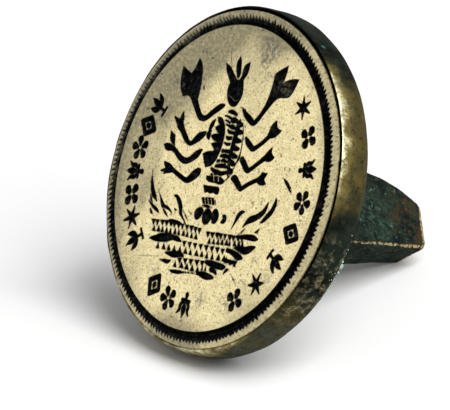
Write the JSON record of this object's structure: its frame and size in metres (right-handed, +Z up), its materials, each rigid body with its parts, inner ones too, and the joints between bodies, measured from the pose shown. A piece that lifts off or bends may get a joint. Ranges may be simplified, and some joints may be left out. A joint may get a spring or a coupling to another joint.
{
  "type": "seal matrix",
  "caption": "Round engraved brass seal matrix: a die plate cut with a crayfish over water, soldered in a cast disc with a tapered square tang behind.",
  "frame": {"origin": "on the table, under the middle of the bounding box of the seal lying on its rim and on its tang's end", "axes": "+Z up from the table; the engraved face looks towards -Y and up, and the tang slopes down towards +Y; +X runs across the disc"},
  "size_m": [0.0322, 0.0292, 0.0285],
  "materials": {
    "engraved_brass": "worn pale brass, engraved cuts filled with dark patina",
    "soft_solder": "dull grey tin-lead solder",
    "cast_brass": "cast and turned, handled bright in places, olive brown patina elsewhere",
    "patinated_brass": "hammered and filed, dark grey-green patina with verdigris and bare arrises"
  },
  "bodies": {
    "root": {"die_plate": "engraved_brass", "solder_bed": "soft_solder", "seal_body": "cast_brass", "tang": "patinated_brass"}
  },
  "joints": []
}
